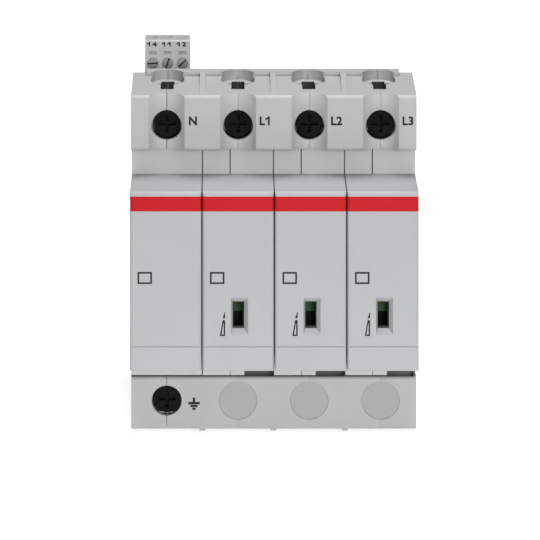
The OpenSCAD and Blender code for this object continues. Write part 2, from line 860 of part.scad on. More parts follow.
// Plan of a cap, drawn in by inset on its front and sides
module cap_plan(inset) {
    half = cap_w / 2 - inset;
    front = -cap_front + inset;
    difference() {
        translate([-half, front]) square([2 * half, cap_front]);
        edge_cut([half, front], cap_round - inset, [1, -1]);
        edge_cut([-half, front], cap_round - inset, [-1, -1]);
    }
}

// Round-edged front cap, open at the back; window says whether it has an indicator window
module front_cap(i, window) {
    x = pole_x(i);
    half = cap_w / 2;
    color("whitesmoke") difference() {
        intersection() {
            across([x - half, x + half]) difference() {
                translate([-cap_front, -cap_bottom]) square([cap_front - flange_front, cap_top + cap_bottom]);
                edge_cut([-cap_front, cap_top], cap_round, [-1, 1]);
                edge_cut([-cap_front, -cap_bottom], cap_round, [-1, -1]);
            }
            translate([x, 0, -cap_bottom - over])
                linear_extrude(cap_top + cap_bottom + 2 * over) cap_plan(0);
        }
        block([x - half + cap_side, x + half - cap_side], [-cap_front + cap_wall, -flange_front + over],
            [-cap_bottom + cap_side, cap_top - cap_side]);
        block([x - half - over, x + half + over], [-cap_front - over, -cap_front + mark_deep],
            [mark_z - mark_w / 2, mark_z + mark_w / 2]);
        difference() {
            block([x - half - over, x + half + over], [-cap_front - over, -cap_front + cap_round + band_wrap],
                [band_low, band_high]);
            translate([x, 0, band_low - over]) linear_extrude(band_high - band_low + 2 * over)
                cap_plan(band_deep);
        }
        if (window) window_cut(x);
    }
}

// Window with a slope on all four sides
module window_cut(x) {
    half_w = window_w / 2;
    half_h = window_h / 2;
    reach = (window_deep + over) / window_deep;
    block([x - half_w, x + half_w], [-cap_front - over, -cap_front + cap_wall + over],
        [-window_drop - half_h, -window_drop + half_h]);
    intersection() {
        translate([x, -cap_front, -cap_bottom]) linear_extrude(cap_top + cap_bottom) polygon([
            [-half_w - window_left * reach, -over], [half_w + window_right * reach, -over],
            [half_w, window_deep], [-half_w, window_deep]]);
        across([x - cap_w / 2, x + cap_w / 2]) translate([-cap_front, -window_drop]) polygon([
            [-over, -half_h - window_slope * reach], [-over, half_h + window_slope * reach],
            [window_deep, half_h], [window_deep, -half_h]]);
    }
}

// Plug blades of a phase cartridge, each with a tab inside
module phase_blades(i) {
    x = pole_x(i);
    flat = [x - blade_t / 2, x + blade_t / 2];
    z = [blade_mid - blade_half, blade_mid + blade_half];
    color("peru") {
        block(flat, [-tab_y, -blade_tip], z);
        block([x + lever_x[0], x + blade_t / 2], [-tab_y - tab_t, -tab_y], [z[0] - tab_down, z[1]]);
        block(flat, [-block_back + tab_t, -blade_tip], [-z[1], -z[0]]);
        block([x - blade_t / 2, x + block_x[1] - tab_end], [-block_back, -block_back + tab_t],
            [-z[1], -z[0] + tab_up]);
    }
}

module varistor(i) {
    x = pole_x(i);
    color("royalblue")
        block([x + block_x[0], x + block_x[1]], [-flange_front + body_wall + block_gap, -block_back],
            [-block_high, block_high]);
}

// Bell crank that lets go of the blade's tab and drives the flag
module lever(i) {
    x = [pole_x(i) + lever_x[0], pole_x(i) + lever_x[1]];
    color("gold") difference() {
        union() {
            along_x(x, pivot_y, pivot_z, hub_r);
            block(x, [pivot_y - lever_reach, pivot_y], [pivot_z - lever_half, pivot_z + lever_half]);
            along_x(x, pivot_y - lever_reach, pivot_z, lever_half);
            block(x, [pivot_y - lever_half, pivot_y + lever_half], [pivot_z, pivot_z + lever_rise]);
        }
        along_x([x[0] - over, x[1] + over], pivot_y, pivot_z, pivot_r + shank_fit);
    }
}

// Indicator flag with a fork round the lever's tip
module flag(i) {
    x = pole_x(i);
    tip_y = pivot_y - lever_reach;
    fork = lever_half + fork_room;
    color("limegreen") {
        block([x - flag_half, x + flag_half], [-flag_front, -flag_front + flag_t],
            [flag_low, pivot_z + fork]);
        block([x + lever_x[0], x + flag_half], [-flag_front, -flag_front + flag_t],
            [pivot_z - fork, pivot_z + fork]);
        difference() {
            block([x + lever_x[0], x + lever_x[1]], [-flag_front, tip_y + lever_half],
                [pivot_z - fork - fork_prong, pivot_z + fork + fork_prong]);
            block([x + lever_x[0] - over, x + lever_x[1] + over], [tip_y - fork, tip_y + lever_half + over],
                [pivot_z - fork, pivot_z + fork]);
        }
    }
}

// Neutral cartridge, in one tub with a flat side cover
module cartridge_n_tub() {
    x = pole_x(0);
    side = -body_half + body_wall;
    color("whitesmoke") difference() {
        body_outer(x, -cap_w / 2, cap_w / 2);
        body_inner(x, side, body_half - body_wall);
        block([x - body_half - over, x + side + over], [-flange_front + flange_t, -body_back + over],
            [-body_high - over, body_high + over]);
    }
}

module cartridge_n_cover() {
    x = pole_x(0);
    color("whitesmoke")
        block([x - body_half, x - body_half + body_wall], [-flange_front + flange_t, -body_back],
            [-body_high, body_high]);
}

// Blades that end in flat plates over the spark gap's posts
module cartridge_n_blades() {
    x = pole_x(0);
    mid_y = -(flange_front + body_back) / 2;
    post = gap_half + gap_post;
    color("peru") for (side = [-1, 1]) flip(side) {
        block([x - blade_t / 2, x + blade_t / 2], [-tab_y, -blade_tip],
            [blade_mid - blade_half, blade_mid + blade_half]);
        block([x - blade_half, x + blade_half], [mid_y - blade_half, -tab_y], [post, post + tab_t]);
        block([x - blade_t / 2, x + blade_t / 2], [-tab_y - tab_t, -tab_y], [post, blade_mid]);
    }
}

module spark_gap() {
    x = pole_x(0);
    mid_y = -(flange_front + body_back) / 2;
    color("white") translate([x, mid_y, 0]) rotate_extrude() polygon([
        [0, -gap_half - gap_post], [gap_r / 2, -gap_half - gap_post], [gap_r / 2, -gap_half],
        [gap_r, -gap_half], [gap_r, gap_half], [gap_r / 2, gap_half],
        [gap_r / 2, gap_half + gap_post], [0, gap_half + gap_post]]);
}

base_shell_left();
for (k = [1:3]) base_shell_middle(k);
base_shell_right();
shell_rivets();
blanking_plugs();
for (i = [0:3]) terminal_screw(i, 1);
terminal_screw(0, -1);  // terminal_screw_pe
for (i = [0:3]) clamp_cage(i, 1);
clamp_cage(0, -1);  // clamp_cage_pe
for (i = [0:3]) contact_strip(i, 1);  // line_contacts
contact_strip(0, -1);  // contact_pe
neutral_busbar();
rail_latch(0);  // rail_latch_left
rail_latch(3);  // rail_latch_right
signal_board();
signal_header();
signal_switch();
signal_bar();
signal_plug();
signal_contacts();
for (k = [0:2]) signal_screw(k);
for (k = [0:2]) signal_cage(k);
cartridge_n_tub();
cartridge_n_cover();
front_cap(0, false);  // cartridge_n_cap
cartridge_n_blades();
spark_gap();
for (i = [1:3]) cartridge_left(i);
for (i = [1:3]) cartridge_right(i);
for (i = [1:3]) front_cap(i, true);
for (i = [1:3]) phase_blades(i);
for (i = [1:3]) varistor(i);
for (i = [1:3]) lever(i);
for (i = [1:3]) flag(i);
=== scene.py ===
import math
import bpy
from mathutils import Matrix, Vector


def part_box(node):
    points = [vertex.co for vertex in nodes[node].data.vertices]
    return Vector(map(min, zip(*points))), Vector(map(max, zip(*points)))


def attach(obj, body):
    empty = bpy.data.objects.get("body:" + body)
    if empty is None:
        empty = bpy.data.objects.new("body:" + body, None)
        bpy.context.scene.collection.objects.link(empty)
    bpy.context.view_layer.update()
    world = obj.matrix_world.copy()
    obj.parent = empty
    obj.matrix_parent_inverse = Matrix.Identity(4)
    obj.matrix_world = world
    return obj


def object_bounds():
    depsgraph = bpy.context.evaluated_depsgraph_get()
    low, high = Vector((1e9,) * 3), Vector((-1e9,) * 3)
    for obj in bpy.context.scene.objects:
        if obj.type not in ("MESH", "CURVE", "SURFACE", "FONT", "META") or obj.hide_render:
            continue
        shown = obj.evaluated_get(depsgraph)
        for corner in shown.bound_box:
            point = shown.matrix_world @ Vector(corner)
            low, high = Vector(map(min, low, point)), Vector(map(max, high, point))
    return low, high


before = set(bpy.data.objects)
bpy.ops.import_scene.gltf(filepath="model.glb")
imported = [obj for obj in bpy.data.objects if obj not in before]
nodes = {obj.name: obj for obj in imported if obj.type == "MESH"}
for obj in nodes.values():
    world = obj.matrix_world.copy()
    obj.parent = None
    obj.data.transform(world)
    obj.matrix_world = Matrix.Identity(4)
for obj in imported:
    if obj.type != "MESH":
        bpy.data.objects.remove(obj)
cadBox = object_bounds()  # the imported pieces' bounds, whose bottom sets the floor's height
mm = 0.001
poles = ["n", "l1", "l2", "l3"]
phases = poles[1:]
ways = ["14", "11", "12"]


def middleX(name):
    low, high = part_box(name)
    return (low.x + high.x) / 2 / mm


capLow, capHigh = [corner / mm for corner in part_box("cartridge_n_cap")]
poleX = {pole: middleX("cartridge_" + pole + "_cap") for pole in poles}
wayX = {way: middleX("signal_screw_" + way) for way in ways}
polePitch = poleX["l1"] - poleX["n"]
seamX = (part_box("cartridge_l1_left")[1].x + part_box("cartridge_l1_right")[0].x) / 2 / mm
shellLow, shellHigh = [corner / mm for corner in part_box("base_shell_left")]
upperFront = shellLow.y
shellTop = shellHigh.z
shoulderStep = 2.4  # the lower shoulder stands further back than the upper one
lowerFront = upperFront + shoulderStep
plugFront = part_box("signal_plug")[0].y / mm
screwLow, screwHigh = [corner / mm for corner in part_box("signal_screw_14")]
screwFront = screwLow.y
wayZ = (screwLow.z + screwHigh.z) / 2
print("frame loaded,", len(nodes), "nodes")


# shared effects

def splitNode(tree, coord):
    split = tree.nodes.new("ShaderNodeSeparateXYZ")
    tree.links.new(coord, split.inputs["Vector"])
    return split.outputs


def newGroup(name, inputs, outputs):
    group = bpy.data.node_groups.new(name, "ShaderNodeTree")
    for label, value in inputs.items():
        socket = group.interface.new_socket(label, in_out="INPUT", socket_type="NodeSocketFloat")
        socket.default_value = value
    for label in outputs:
        group.interface.new_socket(label, in_out="OUTPUT", socket_type="NodeSocketFloat")
    return group, group.nodes.new("NodeGroupInput"), group.nodes.new("NodeGroupOutput")


def noiseNode(tree, vector, scale, detail, roughness):
    noise = tree.nodes.new("ShaderNodeTexNoise")
    noise.inputs["Detail"].default_value = detail
    noise.inputs["Roughness"].default_value = roughness
    tree.links.new(vector, noise.inputs["Vector"])
    if isinstance(scale, (int, float)):
        noise.inputs["Scale"].default_value = scale
    else:
        tree.links.new(scale, noise.inputs["Scale"])
    return noise.outputs["Fac"]


def rangeNode(tree, value, low, high, fromLow=0.0, fromHigh=1.0):
    node = tree.nodes.new("ShaderNodeMapRange")
    node.inputs["From Min"].default_value = fromLow
    node.inputs["From Max"].default_value = fromHigh
    node.inputs["To Min"].default_value = low
    node.inputs["To Max"].default_value = high
    tree.links.new(value, node.inputs["Value"])
    return node.outputs["Result"]


def mathNode(tree, operation, first, second=0.0):
    node = tree.nodes.new("ShaderNodeMath")
    node.operation = operation
    for socket, value in zip(node.inputs, (first, second)):
        if isinstance(value, (int, float)):
            socket.default_value = value
        else:
            tree.links.new(value, socket)
    return node.outputs["Value"]


# a texture's noises have a scale, then detail and roughness
noiseSpan = (0.3, 0.7)  # where most of a noise lies
skinTexture = {"grain": 5200.0, "grainNoise": (3.0, 0.55), "cloud": 70.0, "cloudNoise": (4.0, 0.6)}


def makeMouldedSkin():
    # spark-eroded mould texture, with slow clouds from the flow of the plastic
    sizes = {"Grain": skinTexture["grain"], "Cloud": skinTexture["cloud"]}
    group, inputs, outputs = newGroup("mouldedSkin", sizes, ["Shade", "Height"])
    coord = group.nodes.new("ShaderNodeTexCoord").outputs["Object"]
    grain = noiseNode(group, coord, inputs.outputs["Grain"], *skinTexture["grainNoise"])
    cloud = noiseNode(group, coord, inputs.outputs["Cloud"], *skinTexture["cloudNoise"])
    group.links.new(grain, outputs.inputs["Height"])
    group.links.new(rangeNode(group, cloud, 0.0, 1.0, *noiseSpan), outputs.inputs["Shade"])
    return group


drawTexture = {"lines": 900.0, "lineNoise": (4.0, 0.6), "lineSpan": (0.25, 0.75), "stretch": (1.0, 0.06, 1.0),
               "stain": 220.0, "stainNoise": (3.0, 0.5), "stainSpan": (0.35, 0.7)}


def makeDrawnMetal():
    # fine draw lines along one axis, with stains
    sizes = {"Lines": drawTexture["lines"], "Stain": drawTexture["stain"]}
    group, inputs, outputs = newGroup("drawnMetal", sizes, ["Streak", "Stain", "Height"])
    coord = group.nodes.new("ShaderNodeTexCoord").outputs["Object"]
    stretch = group.nodes.new("ShaderNodeMapping")
    stretch.inputs["Scale"].default_value = drawTexture["stretch"]
    group.links.new(coord, stretch.inputs["Vector"])
    lines = noiseNode(group, stretch.outputs["Vector"], inputs.outputs["Lines"], *drawTexture["lineNoise"])
    stain = noiseNode(group, coord, inputs.outputs["Stain"], *drawTexture["stainNoise"])
    group.links.new(rangeNode(group, lines, 0.0, 1.0, *drawTexture["lineSpan"]), outputs.inputs["Streak"])
    group.links.new(rangeNode(group, stain, 0.0, 1.0, *drawTexture["stainSpan"]), outputs.inputs["Stain"])
    group.links.new(lines, outputs.inputs["Height"])
    return group


def makeRoomShade():
    # 1 inside a room of each pole, above and below alike, where the colour is darkened as painted shade
    sizes = {"Wide": 0.0, "Front": 0.0, "Back": 0.0, "Low": 0.0, "High": 0.0}
    group, inputs, outputs = newGroup("roomShade", sizes, ["Inside"])
    coord = group.nodes.new("ShaderNodeTexCoord").outputs["Object"]
    place = splitNode(group, coord)
    pitch = polePitch * mm
    alongPole = mathNode(group, "FLOORED_MODULO", place["X"], pitch)
    fromPole = mathNode(group, "ABSOLUTE", mathNode(group, "SUBTRACT", alongPole, pitch / 2))
    height = mathNode(group, "ABSOLUTE", place["Z"])
    inside = mathNode(group, "LESS_THAN", fromPole, inputs.outputs["Wide"])
    for value, low, high in ((place["Y"], "Front", "Back"), (height, "Low", "High")):
        for test, edge in (("GREATER_THAN", low), ("LESS_THAN", high)):
            inside = mathNode(group, "MULTIPLY", inside, mathNode(group, test, value, inputs.outputs[edge]))
    group.links.new(inside, outputs.inputs["Inside"])
    return group


def makeSeamShade():
    # 1 on a thin upright line at the same place in each pole, where the split is darkened as painted shade
    group, inputs, outputs = newGroup("seamShade", {"Place": 0.0, "Half": 0.0, "Low": 0.0}, ["Line"])
    coord = group.nodes.new("ShaderNodeTexCoord").outputs["Object"]
    place = splitNode(group, coord)
    alongPole = mathNode(group, "FLOORED_MODULO", place["X"], polePitch * mm)
    fromSeam = mathNode(group, "ABSOLUTE", mathNode(group, "SUBTRACT", alongPole, inputs.outputs["Place"]))
    narrow = mathNode(group, "LESS_THAN", fromSeam, inputs.outputs["Half"])
    upper = mathNode(group, "GREATER_THAN", place["Z"], inputs.outputs["Low"])
    group.links.new(mathNode(group, "MULTIPLY", narrow, upper), outputs.inputs["Line"])
    return group


mouldedSkin = makeMouldedSkin()
roomShade = makeRoomShade()
seamShade = makeSeamShade()
drawnMetal = makeDrawnMetal()


# finishes

grainDepth = 0.02
plasticGloss = 0.35
metalGloss = 0.5


def startMaterial(name):
    material = bpy.data.materials.new(name)
    material.use_nodes = True
    tree = material.node_tree
    shader = tree.nodes["Principled BSDF"]
    return material, tree, shader


def colourBetween(tree, factor, dark, light):
    mix = tree.nodes.new("ShaderNodeMix")
    mix.data_type = "RGBA"
    tree.links.new(factor, mix.inputs["Factor"])
    colours = [socket for socket in mix.inputs if socket.type == "RGBA"]
    for socket, colour in zip(colours, (dark, light)):
        if isinstance(colour, tuple):
            socket.default_value = (*colour, 1.0)
        else:
            tree.links.new(colour, socket)
    return [socket for socket in mix.outputs if socket.type == "RGBA"][0]


def bumpNode(tree, height, strength):
    bump = tree.nodes.new("ShaderNodeBump")
    bump.inputs["Strength"].default_value = strength
    bump.inputs["Distance"].default_value = grainDepth * mm
    tree.links.new(height, bump.inputs["Height"])
    return bump.outputs["Normal"]


def groupNode(tree, group):
    node = tree.nodes.new("ShaderNodeGroup")
    node.node_tree = group
    return node


def paintedShadeParts(tree, colour, look):
    # the colour with its painted shade: a mask, its sizes and the painted shade colour of each
    for mask, sizes, paintedShade in look.get("paintedShade", []):
        shade = groupNode(tree, mask)
        for label, size in sizes.items():
            shade.inputs[label].default_value = size * mm
        colour = colourBetween(tree, shade.outputs[0], colour, paintedShade)
    return colour


def plastic(name, look):
    material, tree, shader = startMaterial(name)
    skin = groupNode(tree, mouldedSkin)
    skin.inputs["Grain"].default_value = look["grain"]
    colour = colourBetween(tree, skin.outputs["Shade"], look["dark"], look["light"])
    tree.links.new(paintedShadeParts(tree, colour, look), shader.inputs["Base Color"])
    rough = rangeNode(tree, skin.outputs["Height"], *look["rough"], *noiseSpan)
    tree.links.new(rough, shader.inputs["Roughness"])
    tree.links.new(bumpNode(tree, skin.outputs["Height"], look["bump"]), shader.inputs["Normal"])
    shader.inputs["Specular IOR Level"].default_value = look.get("gloss", plasticGloss)
    return material


def metal(name, look):
    material, tree, shader = startMaterial(name)
    drawn = groupNode(tree, drawnMetal)
    drawn.inputs["Lines"].default_value = look["lines"]
    colour = colourBetween(tree, drawn.outputs["Stain"], look["dark"], look["light"])
    tree.links.new(paintedShadeParts(tree, colour, look), shader.inputs["Base Color"])
    rough = rangeNode(tree, drawn.outputs["Streak"], *look["rough"])
    tree.links.new(rough, shader.inputs["Roughness"])
    tree.links.new(bumpNode(tree, drawn.outputs["Height"], look["bump"]), shader.inputs["Normal"])
    shader.inputs["Metallic"].default_value = look["metallic"]
    shader.inputs["Specular IOR Level"].default_value = look.get("gloss", metalGloss)
    return material


# places of painted shade, in millimetres from each pole's middle and from the frame's axes
# painted shade inside the terminal rooms behind the screw holes and wire entries
terminalRoom = {"Wide": 5.2, "Front": -41.3, "Back": -24.3, "Low": 29.2, "High": 41.1}
# painted shade in the pry slots under the caps
pryRoom = {"Wide": 8.7, "Front": -42.1, "Back": -36.4, "Low": 28.2, "High": 34.1}
# painted shade on the back and side walls of the wire funnels
funnelWalls = {"Wide": 4.25, "Front": -30.3, "Back": -22.7, "Low": 41.35, "High": shellTop - 0.05}
# painted shadow on the lower part of the crest's face, under its overhang
crestFace = {"Wide": 8.15, "Front": -26.1, "Back": -25.9, "Low": 41.35, "High": shellTop - 0.5}
# painted shade inside the hollow caps, seen through the windows
capRoom = {"Wide": 7.4, "Front": -56.7, "Back": -39.9, "Low": -1.0, "High": 21.2}
# painted shade line along the split of each cartridge body
bodySeamShade = {"Place": seamX % polePitch, "Half": 0.14, "Low": 0.0}
# painted shade in the slits of the signal plug
plugSlits = {"Wide": polePitch, "Front": plugFront + 0.1, "Back": plugFront + 3.0,
             "Low": wayZ + 2.2, "High": wayZ + 3.6}
# painted shade in the slots of the signal screws
screwSlots = {"Wide": polePitch, "Front": screwFront + 0.1, "Back": 0.0,
              "Low": wayZ - 2.0, "High": wayZ + 2.0}

# cartridge bodies: painted light, their grey made lighter than the caps' grey of the same plastic to make up
# for the shade under the upper shoulder; painted shade inside the hollow caps
bodyLook = {"dark": (0.395, 0.403, 0.403), "light": (0.41, 0.418, 0.418),
            "grain": 6500.0, "rough": (0.46, 0.6), "bump": 0.2,
            "paintedShade": [(roomShade, capRoom, (0.02, 0.022, 0.02))]}
plastics = {
    "housingGrey": {"dark": (0.302, 0.310, 0.309), "light": (0.317, 0.325, 0.324),
                    "grain": 5200.0, "rough": (0.5, 0.66), "bump": 0.25,
                    # painted shade in the terminal rooms and pry slots, and on the funnel walls and under the
                    # crest
                    "paintedShade": [(roomShade, terminalRoom, (0.012, 0.012, 0.012)),
                             (roomShade, pryRoom, (0.18, 0.182, 0.18)),
                             (roomShade, funnelWalls, (0.218, 0.223, 0.221)),
                             (roomShade, crestFace, (0.22, 0.225, 0.223))]},
    "blankGrey": {"dark": (0.256, 0.263, 0.262), "light": (0.270, 0.277, 0.276),
                  "grain": 5200.0, "rough": (0.48, 0.64), "bump": 0.25},
    "bodyGrey": bodyLook,
    "splitGrey": {**bodyLook, "paintedShade": bodyLook["paintedShade"] + [(seamShade, bodySeamShade, (0.02, 0.02, 0.02))]},
    "cartridgeGrey": {**bodyLook, "dark": (0.300, 0.306, 0.312), "light": (0.314, 0.320, 0.326)},
    "connectorGrey": {"dark": (0.29, 0.29, 0.28), "light": (0.33, 0.33, 0.32),
                      "grain": 3600.0, "rough": (0.45, 0.6), "bump": 0.35,
                      # painted shade in the plug's slits
                      "paintedShade": [(roomShade, plugSlits, (0.24, 0.24, 0.232))]},
    "latchGrey": {"dark": (0.40, 0.41, 0.41), "light": (0.43, 0.44, 0.44),
                  "grain": 4500.0, "rough": (0.4, 0.55), "bump": 0.2},
    "bandRed": {"dark": (0.37, 0.007, 0.011), "light": (0.39, 0.009, 0.013),
                "grain": 7000.0, "rough": (0.45, 0.58), "bump": 0.12, "gloss": 0.1},
    "ink": {"dark": (0.012, 0.012, 0.013), "light": (0.02, 0.02, 0.021),
            "grain": 9000.0, "rough": (0.5, 0.7), "bump": 0.1, "gloss": 0.1},
    "flagGreen": {"dark": (0.018, 0.092, 0.021), "light": (0.022, 0.102, 0.025),
                  "grain": 5000.0, "rough": (0.5, 0.65), "bump": 0.15},
    "switchBlack": {"dark": (0.014, 0.014, 0.015), "light": (0.022, 0.022, 0.023),
                    "grain": 4500.0, "rough": (0.4, 0.6), "bump": 0.25},
    "barWhite": {"dark": (0.68, 0.68, 0.66), "light": (0.72, 0.72, 0.70),
                 "grain": 4500.0, "rough": (0.4, 0.55), "bump": 0.2},
    "boardGreen": {"dark": (0.01, 0.10, 0.045), "light": (0.016, 0.13, 0.06),
                   "grain": 2600.0, "rough": (0.25, 0.4), "bump": 0.15, "gloss": 0.5},
    "varistorBlue": {"dark": (0.012, 0.04, 0.20), "light": (0.018, 0.055, 0.25),
                     "grain": 1800.0, "rough": (0.3, 0.45), "bump": 0.4, "gloss": 0.5},
    "ceramicWhite": {"dark": (0.74, 0.73, 0.69), "light": (0.80, 0.79, 0.75),
                     "grain": 1500.0, "rough": (0.12, 0.22), "bump": 0.08, "gloss": 0.5},
}
metals = {
    # terminal screws: a black finish, made near-black as painted shade of the deep screw holes
    "screwBlack": {"dark": (0.004, 0.004, 0.004), "light": (0.008, 0.008, 0.008),
                   "lines": 1200.0, "rough": (0.45, 0.65), "bump": 0.25, "metallic": 0.0, "gloss": 0.04},
    "screwGrey": {"dark": (0.205, 0.205, 0.2), "light": (0.29, 0.29, 0.284),
                  "lines": 1500.0, "rough": (0.35, 0.5), "bump": 0.25, "metallic": 0.8,
                  # painted shade in the screw slots
                  "paintedShade": [(roomShade, screwSlots, (0.02, 0.02, 0.02))]},
    "zinc": {"dark": (0.50, 0.51, 0.53), "light": (0.60, 0.61, 0.63),
             "lines": 1000.0, "rough": (0.25, 0.42), "bump": 0.3, "metallic": 1.0},
    "copper": {"dark": (0.50, 0.21, 0.11), "light": (0.66, 0.31, 0.17),
               "lines": 900.0, "rough": (0.22, 0.38), "bump": 0.3, "metallic": 1.0},
    "brass": {"dark": (0.50, 0.36, 0.13), "light": (0.64, 0.47, 0.19),
              "lines": 900.0, "rough": (0.22, 0.38), "bump": 0.3, "metallic": 1.0},
}
finishes = {name: plastic(name, look) for name, look in plastics.items()}
finishes.update({name: metal(name, look) for name, look in metals.items()})

nodeFinish = {"shell_rivets": "zinc", "blanking_plugs": "blankGrey", "neutral_busbar": "copper",
              "signal_board": "boardGreen", "signal_switch": "switchBlack", "signal_bar": "barWhite",
              "signal_header": "connectorGrey", "signal_plug": "connectorGrey", "signal_contacts": "copper",
              "line_contacts": "copper", "contact_pe": "copper", "spark_gap": "ceramicWhite"}
startsWith = {"base_shell": "housingGrey", "terminal_screw": "screwBlack", "clamp_cage": "zinc",
              "rail_latch": "latchGrey", "signal_screw": "screwGrey", "signal_cage": "zinc",
              "cartridge_l": "splitGrey", "cartridge": "bodyGrey", "varistor": "varistorBlue",
              "lever": "brass", "flag": "flagGreen"}
endsWith = {"_blades": "copper", "_cap": "cartridgeGrey"}


def finishFor(name):
    if name in nodeFinish:
        return finishes[nodeFinish[name]]
    for end, finish in endsWith.items():
        if name.endswith(end):
            return finishes[finish]
    for start, finish in startsWith.items():
        if name.startswith(start):
            return finishes[finish]


for name, node in nodes.items():
    node.data.materials.clear()
    node.data.materials.append(finishFor(name))
print("finishes set:", len(finishes))


# a fine moulding radius on the edges of the CAD pieces that show

edges = {"weld": 0.001, "angle": 40, "segments": 2,
         "widths": {("base_shell", "blanking"): 0.05, ("cartridge",): 0.12,
                    ("signal_plug", "rail_latch", "terminal_screw"): 0.08}}
for starts, width in edges["widths"].items():
    for name, node in nodes.items():
        if name.startswith(starts) and not name.endswith("_blades"):
            weld = node.modifiers.new("join", "WELD")
            weld.merge_threshold = edges["weld"] * mm
            bevel = node.modifiers.new("edgeRadius", "BEVEL")
            bevel.width = width * mm
            bevel.segments = edges["segments"]
            bevel.limit_method = "ANGLE"
            bevel.angle_limit = math.radians(edges["angle"])
print("edges rounded")


# new pieces

facing = 0.5  # a normal's share along an axis, past which a face counts as facing that way


def clearSelection():
    if bpy.context.object and bpy.context.object.mode != "OBJECT":
        bpy.ops.object.mode_set(mode="OBJECT")
    bpy.ops.object.select_all(action="DESELECT")


def selectPieces(pieces):
    clearSelection()
    for piece in pieces:
        piece.select_set(True)
    bpy.context.view_layer.objects.active = pieces[0]


def settle(piece):
    # place, turn and scale go into the mesh
    selectPieces([piece])
    bpy.ops.object.transform_apply(location=True, rotation=True, scale=True)


def addBlock(name, low, high):
    clearSelection()
    centre = [(a + b) / 2 * mm for a, b in zip(low, high)]
    bpy.ops.mesh.primitive_cube_add(size=1.0, location=centre)
    piece = bpy.context.object
    piece.name = name
    piece.scale = [(b - a) * mm for a, b in zip(low, high)]
    settle(piece)
    return piece


def clearMesh(piece):
    bpy.ops.object.mode_set(mode="OBJECT")
    for part in (piece.data.vertices, piece.data.edges, piece.data.polygons):
        for element in part:
            element.select = False


def selectFaces(piece, test):
    # leaves the piece in edit mode with the faces that pass the test selected
    clearMesh(piece)
    for face in piece.data.polygons:
        face.select = test(face)
    bpy.context.tool_settings.mesh_select_mode = (False, False, True)
    bpy.ops.object.mode_set(mode="EDIT")


def selectEdges(piece, test):
    # the same for edges, tested by their two ends
    clearMesh(piece)
    for edge in piece.data.edges:
        first, second = [piece.data.vertices[i].co for i in edge.vertices]
        edge.select = test(first, second)
    bpy.context.tool_settings.mesh_select_mode = (False, True, False)
    bpy.ops.object.mode_set(mode="EDIT")


def combine(piece, other, operation):
    # adds the other piece to this one, or cuts it away
    selectPieces([piece])
    joint = piece.modifiers.new("combine", "BOOLEAN")
    joint.operation = operation
    joint.object = other
    joint.solver = "EXACT"
    bpy.ops.object.modifier_apply(modifier=joint.name)
    bpy.data.objects.remove(other)
    return piece


def softenEdges(piece, width):
    bpy.ops.object.mode_set(mode="OBJECT")
    bevel = piece.modifiers.new("softEdge", "BEVEL")
    bevel.width = width * mm
    bevel.segments = edges["segments"]
    bevel.limit_method = "ANGLE"
    bpy.ops.object.modifier_apply(modifier=bevel.name)


def copyPiece(piece, shift):
    # a copy to one side, with its own mesh
    selectPieces([piece])
    bpy.ops.object.duplicate(linked=False)
    copy = bpy.context.object
    copy.location.x = shift * mm
    settle(copy)
    return copy


def finishPiece(piece, finish, body):
    piece.data.materials.clear()
    piece.data.materials.append(finishes[finish])
    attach(piece, body)


def finishOnPoles(piece, name, finish, wanted):
    # the piece as modelled is the first pole's, and the other poles get copies
    pieces = [piece] + [copyPiece(piece, poleX[pole] - poleX[wanted[0]]) for pole in wanted[1:]]
    for pole, piece in zip(wanted, pieces):
        piece.name = name + "_" + pole
        finishPiece(piece, finish, "cartridge_" + pole)


# red band round the front corners of each cartridge
band = {"halfWidth": (capHigh.x - capLow.x) / 2, "front": capLow.y, "round": 0.7, "wrap": 0.5, "thick": 0.15,
        "low": 16.8, "high": 20.45, "segments": 6, "near": 0.01}
strip = addBlock("band", (poleX["n"] - band["halfWidth"], band["front"], band["low"]),
                 (poleX["n"] + band["halfWidth"], band["front"] + band["round"] + band["wrap"], band["high"]))
selectFaces(strip, lambda face: face.normal.y > facing or abs(face.normal.z) > facing)
bpy.ops.mesh.delete(type="FACE")
near = band["near"] * mm
frontOnly = band["front"] * mm + near
selectEdges(strip, lambda a, b: max(a.y, b.y) < frontOnly and abs(a.z - b.z) > near)  # the front uprights
bpy.ops.mesh.bevel(offset=band["round"] * mm, segments=band["segments"])
bpy.ops.object.mode_set(mode="OBJECT")
sheet = strip.modifiers.new("thickness", "SOLIDIFY")
sheet.thickness = band["thick"] * mm
sheet.offset = -1.0
bpy.ops.object.modifier_apply(modifier=sheet.name)
finishOnPoles(strip, "band", "bandRed", poles)
print("bands made")


# printed signs

printing = {"thick": 0.03, "sink": 0.01, "soft": 0.008, "fontSize": 10.0, "curveSteps": 6, "merge": 0.01}


def joinPieces(pieces, name):
    selectPieces(pieces)
    bpy.ops.object.join()
    whole = bpy.context.object
    whole.name = name
    return whole


def inkBar(low, high, front):
    return addBlock("bar", (low[0], front - printing["thick"] + printing["sink"], low[1]),
                    (high[0], front + printing["sink"], high[1]))


